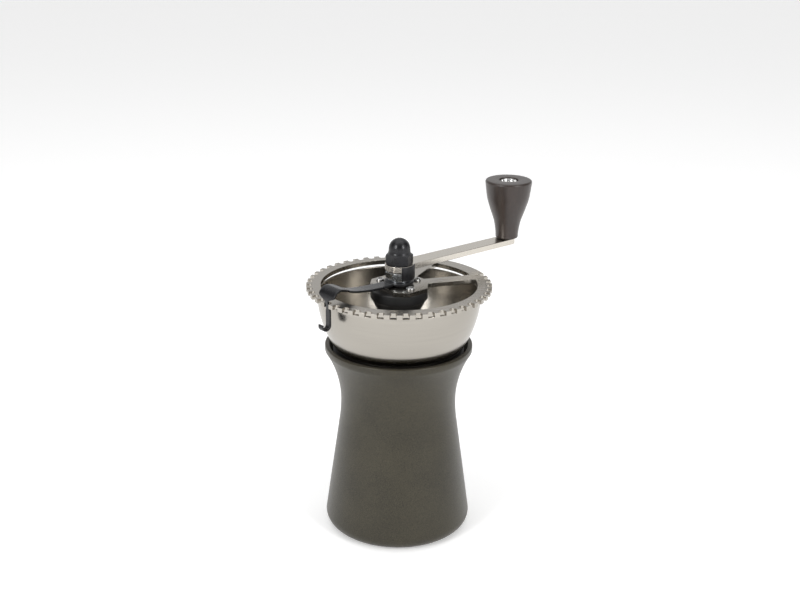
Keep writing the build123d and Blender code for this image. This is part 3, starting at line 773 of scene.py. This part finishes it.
def hexagon_bar(name, flats, z0, z1, corner_deg, chamfer_low, chamfer_high):
    """Hexagonal bar whose corners are turned off at both ends."""
    corner = flats / math.sqrt(3)
    bm = bmesh.new()
    outline = [(corner * math.cos(math.radians(corner_deg + 60 * i)),
                corner * math.sin(math.radians(corner_deg + 60 * i))) for i in range(6)]
    prism(bm, outline, z0, z1)
    bar = as_object(bm, name)
    bm = bmesh.new()
    turned(bm, [(0, z0), (corner - chamfer_low * 1.6, z0), (corner + 0.1, z0 + chamfer_low),
                (corner + 0.1, z1 - chamfer_high), (corner - chamfer_high * 1.5, z1), (0, z1)], steps=144)
    return combined(bar, "INTERSECT", as_object(bm, "turned_blank"))


class GRINDER_OT_nut(bpy.types.Operator):
    """Zinc-plated adjusting nut with its flange, and the ring that carries the lever"""
    bl_idname = "grinder.nut"
    bl_label = "Adjusting nut"

    def execute(self, context):
        flats, bore = context.scene.grinder_sizes.nut_flats, 5.24
        nut = hexagon_bar("adjusting_hexagon", flats, NUT_Z0 + 1.5, NUT_Z1, 0.5, 0.35, 0.5)
        bm = bmesh.new()
        turned(bm, rounded([(0, NUT_Z0, 0), (6.3, NUT_Z0, 0.3), (6.3, NUT_Z0 + 1.6, 0), (0, NUT_Z0 + 1.6, 0)]), 96)
        combined(nut, "UNION", as_object(bm, "flange"))
        combined(nut, "DIFFERENCE", rod("bore", bore, NUT_Z0 - 1, NUT_Z1 + 1, 64))
        softened(nut, 0.12, 2, 25)
        settle(nut, "setting", FINISH["zinc"], ["adjusting_nut"], 0)
        low, high, radius = reach("lever_ring")
        bm = bmesh.new()
        turned(bm, rounded([(bore, low, 0.1), (radius, low, 0.3), (radius, high, 0.3), (bore, high, 0.1)]), 96)
        settle(as_object(bm, "lever_eye"), "setting", FINISH["black"], ["lever_ring"])
        return {"FINISHED"}


def lever_path():
    """Centre line of the lever, seen from the side, as (radius, z) from root to curl."""
    leaf = through([(8.3, 144.95), (16.0, 145.0), (27.0, 145.8), (36.0, 147.4), (41.0, 149.7), LEVER_CREST], 8)
    over = arc(LEVER_CREST[0], LEVER_CREST[1] - LEVER_BEND, LEVER_BEND, 90, -15, 16)
    end = over[-1]
    lean = math.radians(-105)
    slope, bend, hook = 2.6, 8.0, 2.5
    slant = (end[0] + slope * math.cos(lean), end[1] + slope * math.sin(lean))
    back = math.radians(-195)
    centre = (slant[0] - bend * math.cos(back), slant[1] - bend * math.sin(back))
    upright = arc(centre[0], centre[1], bend, -195, -180, 4)
    foot = (49.35, 131.5)
    drop = [(upright[-1][0] + (foot[0] - upright[-1][0]) * k / 8, upright[-1][1] + (foot[1] - upright[-1][1]) * k / 8)
            for k in range(1, 8)]
    curl = arc(foot[0] + hook, foot[1], hook, 180, 380, 20)
    return leaf + over + upright + drop + curl


def lever_half_width(sizes, r, z, past_crest):
    """Half the lever's width at a point of its path."""
    hump, root, leaf, stem, low_stem = sizes.lever_width / 2, 4.3, 3.9, 1.25, 1.75
    if not past_crest:
        t = min(max((r - 36) / 6, 0), 1)
        return root - (root - leaf) * min(r / 24, 1) + (hump - leaf) * t * t * (3 - 2 * t)
    t = min(max((147.6 - z) / 3.15, 0), 1)
    low = min(max((CROWN_Z0 - z) / 2, 0), 1)
    return hump + (stem - hump) * t * t * (3 - 2 * t) + (low_stem - stem) * low


class GRINDER_OT_lever(bpy.types.Operator):
    """Lock lever: a spring leaf, its hump, the stem in the notch and the curled end"""
    bl_idname = "grinder.lever"
    bl_label = "Lock lever"

    def execute(self, context):
        sizes = context.scene.grinder_sizes
        thick = 1.06
        path = lever_path()
        columns = 8
        bm = bmesh.new()
        bmesh.ops.create_grid(bm, x_segments=len(path) - 1, y_segments=columns, size=1.0)
        crest = max(range(len(path)), key=lambda i: path[i][1])
        for v in bm.verts:
            i = round((v.co.x + 1) / 2 * (len(path) - 1))
            across = v.co.y
            r, z = path[i]
            half = lever_half_width(sizes, r, z, i > crest)
            v.co = Vector((r * MM, across * half * MM, z * MM))
        bmesh.ops.recalc_face_normals(bm, faces=bm.faces)
        top = max(bm.faces, key=lambda f: f.calc_center_median().z)
        if top.normal.z < 0:
            bmesh.ops.reverse_faces(bm, faces=bm.faces)
        lever = as_object_open(bm, "spring_lever")
        wall = lever.modifiers.new("wall", "SOLIDIFY")
        wall.thickness = thick * MM
        wall.offset = 0.0
        wall.use_even_offset = True
        baked(lever)
        softened(lever, 0.28, 3, 50)
        lever.data.transform(Matrix.Rotation(LEVER_ANGLE, 4, "Z"))
        settle(lever, None, FINISH["gloss"], ["lever_leaf", "lever_hook"], 50)
        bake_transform(lever)
        return {"FINISHED"}


class GRINDER_OT_collar(bpy.types.Operator):
    """Black collar with the two ears round the arm's end"""
    bl_idname = "grinder.collar"
    bl_label = "Collar"

    def execute(self, context):
        inner, low = 7.95, COLLAR_Z0
        outline = rounded([(inner, low, 0.15), (COLLAR_R, low, 0.25), (COLLAR_R, COLLAR_Z1, 0.3),
                           (inner, COLLAR_Z1, 0.15)], 3)
        for side, start_deg in EAR_STARTS.items():
            bm = bmesh.new()
            turned(bm, outline, steps=36, sweep=EAR_SWEEP, start=ARM_ANGLE + math.radians(start_deg))
            ear = as_object(bm, f"collar_ear_{side}")
            nodes = ["crank_collar"] if side == "left" else []
            settle(ear, "crank", FINISH["black"], nodes, 45)
        bm = bmesh.new()
        floor, hole, disc_r, outer = NUT_Z1 + 0.6, 4.05, 6.2, inner + 0.1
        turned(bm, rounded([(hole, floor, 0), (disc_r, floor, 0.2), (disc_r, ARM_Z0, 0.1), (hole, ARM_Z0, 0)], 3), 96)
        ledge = [(disc_r + 0.1, floor), (outer, floor), (outer, ARM_Z0 - 0.02), (disc_r + 0.1, ARM_Z0 - 0.02)]
        for start_deg in EAR_STARTS.values():
            turned(bm, ledge, steps=36, sweep=EAR_SWEEP, start=ARM_ANGLE + math.radians(start_deg))
        settle(as_object(bm, "collar_floor"), "crank", FINISH["black"], [])
        return {"FINISHED"}


class GRINDER_OT_arm(bpy.types.Operator):
    """Flat ground arm with rounded ends"""
    bl_idname = "grinder.arm"
    bl_label = "Crank arm"

    def execute(self, context):
        sizes = context.scene.grinder_sizes
        hub, near, far = 7.9, sizes.arm_width / 2, 4.8
        open_deg = math.degrees(math.asin(near / hub))
        low, high = ARM_Z0, ARM_Z1
        outline = arc(0, 0, hub, open_deg, 360 - open_deg, 56)
        outline += arc(ARM_REACH, 0, far, -90, 90, 24)
        bm = bmesh.new()
        prism(bm, outline, low, high, Matrix.Rotation(ARM_ANGLE, 4, "Z"))
        arm = as_object(bm, "crank_arm_plate")
        combined(arm, "DIFFERENCE", rod("hub_hole", 3.98, low - 1, high + 1, 48))
        softened(arm, sizes.soft_edge, 3, 40)
        settle(arm, "crank", FINISH["arm"], ["crank_arm"], 0)
        return {"FINISHED"}


class GRINDER_OT_cap(bpy.types.Operator):
    """Black domed nut on top of the shaft"""
    bl_idname = "grinder.cap"
    bl_label = "Cap nut"

    def execute(self, context):
        flats = context.scene.grinder_sizes.nut_flats
        shoulder = CAP_Z0 + 6.1
        nut = hexagon_bar("domed_cap_nut", flats, CAP_Z0 + 0.02, shoulder, 7.5, 0.4, 1.1)
        crest = 5.9
        bm = bmesh.new()
        outline = [(0, shoulder - 0.6), (6.35, shoulder - 0.6), (6.35, shoulder + 0.05), (6.1, shoulder + 0.5),
                   (5.97, shoulder + 1.4)]
        outline += arc(0, CAP_Z1 - crest, crest, 0, 90, 18)
        turned(bm, outline, 96)
        settle(as_object(bm, "cap_dome"), "crank", FINISH["gloss"], [], 50)
        softened(nut, 0.22, 3, 24)
        settle(nut, "crank", FINISH["gloss"], ["cap_nut"], 0)
        return {"FINISHED"}


class GRINDER_OT_knob(bpy.types.Operator):
    """Turned knob with its recess, and the cupped head of its spindle"""
    bl_idname = "grinder.knob"
    bl_label = "Knob"

    def execute(self, context):
        centre = (KNOB_X, KNOB_Y)
        z0, z1 = KNOB_Z0, KNOB_Z1
        knots = [(6.5, z0 + 0.9), (6.75, 159.5), (7.8, 165.4), (10.2, 172.4), (12.1, 178.8), (13.15, 186.0),
                 (KNOB_R - 0.01, z1 - 1.2)]
        side = through(knots, 6)
        outline = [(3.4, z0 + 2.0), (4.3, z0 + 2.0), (4.3, z0)]
        outline += arc(5.7, z0 + 0.8, 0.8, -90, -10, 5) + side
        outline += arc(KNOB_R - 1.21, z1 - 1.2, 1.2, 0, 90, 7)
        outline += arc(5.95, z1 - 0.5, 0.5, 90, 180, 5)
        outline += [(5.35, z1 - 3.9), (3.4, z1 - 3.9)]
        bm = bmesh.new()
        turned(bm, outline, 128, centre)
        settle(as_object(bm, "turned_knob"), "knob", FINISH["knob"], ["knob"], 45)
        self.spindle(centre)
        return {"FINISHED"}

    def spindle(self, centre):
        """Shouldered pin, its riveted foot and the cup in the knob's recess."""
        z0, z1 = KNOB_Z0, KNOB_Z1
        head = z1 - 3.4
        outline = [(0, ARM_Z0 - 0.88), (2.9, ARM_Z0 - 0.88), (3.55, ARM_Z0 - 0.3), (3.55, ARM_Z0), (2.5, ARM_Z0),
                   (2.5, ARM_Z1), (4.0, ARM_Z1), (4.0, z0 - 0.15), (2.2, z0 - 0.15), (2.2, head), (4.5, head),
                   (4.75, head + 0.3), (4.75, z1 - 0.8)]
        outline += arc(4.48, z1 - 0.8, 0.27, 0, 180, 6)
        outline += [(4.2, head + 1.6), (3.9, head + 1.2), (0, head + 1.2)]
        bm = bmesh.new()
        turned(bm, outline, 72, centre)
        settle(as_object(bm, "knob_spindle_cup"), "crank", FINISH["bright"], ["knob_spindle"])
        button = screw_head("spindle_button", centre, head + 1.0, 2.9, 1.2, 1.7)
        softened(button, 0.08, 2, 40)
        settle(button, "crank", FINISH["bright"], [], 0)


class GRINDER_OT_inner_works(bpy.types.Operator):
    """Finishes for the pieces that are right as they are"""
    bl_idname = "grinder.inner_works"
    bl_label = "Inner works"

    def execute(self, context):
        finishes = {
            "foot_pad": "rubber", "grounds_liner": "plastic", "bowl_gasket": "rubber",
            "burr_housing": "plastic", "outer_burr": "burr", "housing_screws": "bright", "lower_bush": "bronze",
            "upper_bush": "bronze", "drive_shaft": "bright", "inner_burr": "burr",
            "burr_washer": "bright", "burr_clip": "bright", "lift_spring": "bright", "thrust_washer": "bright",
            "knob_bush": "sleeve",
        }
        for node, finish in finishes.items():
            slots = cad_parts[node].material_slots
            for slot in slots:
                slot.material = FINISH[finish]
        return {"FINISHED"}


# ---- stage --------------------------------------------------------------------------------
def area_light(name, place, aim, size, power):
    light = bpy.data.lights.new(name, "AREA")
    light.shape = "RECTANGLE"
    light.size, light.size_y = size
    light.energy = power
    lamp = bpy.data.objects.new(name, light)
    bpy.context.scene.collection.objects.link(lamp)
    lamp.location = place
    lamp.rotation_euler = (Vector(aim) - Vector(place)).to_track_quat("-Z", "Y").to_euler()
    return lamp


class GRINDER_OT_stage(bpy.types.Operator):
    """Pale floor, soft lights and the camera"""
    bl_idname = "grinder.stage"
    bl_label = "Stage"

    def execute(self, context):
        scene = context.scene
        bm = bmesh.new()
        bmesh.ops.create_grid(bm, x_segments=2, y_segments=2, size=6.0)
        floor = as_object_open(bm, "floor")
        paint = bpy.data.materials.new("pale_floor")
        paint.use_nodes = True
        shader = paint.node_tree.nodes["Principled BSDF"]
        shader.inputs["Base Color"].default_value = (0.93, 0.93, 0.93, 1)
        shader.inputs["Roughness"].default_value = 0.9
        shader.inputs["Specular IOR Level"].default_value = 0.1
        shader.inputs["Emission Color"].default_value = (1, 1, 1, 1)
        shader.inputs["Emission Strength"].default_value = 0.3
        floor.data.materials.append(paint)
        self.world(scene)
        centre = (0, 0, 0.1)
        area_light("left_softbox", (-0.7, -0.75, 0.65), centre, (0.26, 0.6), 4.6)
        area_light("right_softbox", (0.72, -0.75, 0.62), centre, (0.22, 0.6), 3.8)
        area_light("top_softbox", (0.0, 0.15, 1.2), centre, (1.3, 1.0), 3.4)
        self.camera(scene)
        scene.view_settings.view_transform = "Standard"
        scene.view_settings.look = "None"
        return {"FINISHED"}

    def world(self, scene):
        """Studio light: two broad bright sides in front, dark gaps beside them, pale back and horizon."""
        world = bpy.data.worlds.new("studio")
        scene.world = world
        world.use_nodes = True
        tree = world.node_tree
        background = tree.nodes["Background"]
        place = tree.nodes.new("ShaderNodeTexCoord").outputs["Generated"]
        flat = tree.nodes.new("ShaderNodeVectorMath")
        flat.operation = "MULTIPLY"
        flat.inputs[1].default_value = (1, 1, 0)
        heading = tree.nodes.new("ShaderNodeVectorMath")
        heading.operation = "NORMALIZE"
        parts = tree.nodes.new("ShaderNodeSeparateXYZ")
        around, ramp = tree.nodes.new("ShaderNodeMapRange"), tree.nodes.new("ShaderNodeValToRGB")
        around.inputs["From Min"].default_value = -1
        height, above = tree.nodes.new("ShaderNodeSeparateXYZ"), tree.nodes.new("ShaderNodeMapRange")
        above.inputs["From Min"].default_value, above.inputs["From Max"].default_value = 0.6, 0.9
        mix, level = tree.nodes.new("ShaderNodeMix"), tree.nodes.new("ShaderNodeMix")
        mix.data_type = level.data_type = "RGBA"
        mix.inputs[7].default_value = (0.8, 0.8, 0.8, 1)
        level.inputs[6].default_value = (0.95, 0.95, 0.95, 1)
        rise = tree.nodes.new("ShaderNodeMapRange")
        rise.inputs["From Min"].default_value, rise.inputs["From Max"].default_value = 0.16, 0.34
        for source, target in (
                (place, flat.inputs[0]), (flat.outputs[0], heading.inputs[0]), (heading.outputs[0], parts.inputs[0]),
                (parts.outputs["Y"], around.inputs["Value"]), (around.outputs["Result"], ramp.inputs["Fac"]),
                (place, height.inputs[0]), (height.outputs["Z"], above.inputs["Value"]),
                (above.outputs["Result"], mix.inputs["Factor"]), (ramp.outputs["Color"], mix.inputs[6]),
                (height.outputs["Z"], rise.inputs["Value"]), (rise.outputs["Result"], level.inputs["Factor"]),
                (mix.outputs[2], level.inputs[7]), (level.outputs[2], background.inputs["Color"])):
            tree.links.new(source, target)
        stops = ramp.color_ramp.elements
        ramp.color_ramp.interpolation = "EASE"
        tones = ((0.0, 0.25), (0.1, 0.45), (0.22, 1.7), (0.34, 0.8),
                 (0.46, 0.06), (0.66, 0.1), (0.84, 0.6), (1.0, 0.8))
        for i, (position, tone) in enumerate(tones):
            stop = stops[i] if i < 2 else stops.new(position)
            stop.position, stop.color = position, (tone, tone, tone, 1)
        background.inputs["Strength"].default_value = 0.85

    def camera(self, scene):
        focal = 54.39
        lens = bpy.data.cameras.new("camera")
        lens.lens = focal
        lens.sensor_width = 36.0
        lens.clip_start = 0.01
        camera = bpy.data.objects.new("camera", lens)
        scene.collection.objects.link(camera)
        pitch, yaw, roll = math.radians(19.5), math.radians(0.124), math.radians(0.515)
        turn = Matrix.Rotation(-yaw, 4, "Z") @ Matrix.Rotation(math.pi / 2 - pitch, 4, "X")
        turn = turn @ Matrix.Rotation(roll, 4, "Z")
        camera.matrix_world = Matrix.Translation((-0.00084, -0.6261, 0.3555)) @ turn
        scene.camera = camera


PIECES = (
    GRINDER_OT_finishes, GRINDER_OT_stage, GRINDER_OT_body, GRINDER_OT_seat, GRINDER_OT_bowl, GRINDER_OT_crown,
    GRINDER_OT_screws, GRINDER_OT_column, GRINDER_OT_boss, GRINDER_OT_nut, GRINDER_OT_lever, GRINDER_OT_collar,
    GRINDER_OT_arm, GRINDER_OT_cap, GRINDER_OT_knob, GRINDER_OT_inner_works,
)


class GRINDER_PT_panel(bpy.types.Panel):
    """Lists the operators that build the grinder"""
    bl_label = "Coffee Grinder"
    bl_space_type = "VIEW_3D"
    bl_region_type = "UI"
    bl_category = "Grinder"

    def draw(self, context):
        for group in (context.scene.grinder_sizes, context.scene.grinder_colours):
            for name in group.__annotations__:
                self.layout.prop(group, name)
        for piece in PIECES:
            self.layout.operator(piece.bl_idname)


CLASSES = (GrinderSizes, GrinderColours) + PIECES + (GRINDER_PT_panel,)


def register():
    for cls in CLASSES:
        bpy.utils.register_class(cls)
    bpy.types.Scene.grinder_sizes = PointerProperty(type=GrinderSizes)
    bpy.types.Scene.grinder_colours = PointerProperty(type=GrinderColours)


def unregister():
    del bpy.types.Scene.grinder_colours
    del bpy.types.Scene.grinder_sizes
    for cls in reversed(CLASSES):
        bpy.utils.unregister_class(cls)


def main():
    register()
    for piece in PIECES:
        group, name = piece.bl_idname.split(".")
        getattr(getattr(bpy.ops, group), name)()


if __name__ == "__main__":
    main()
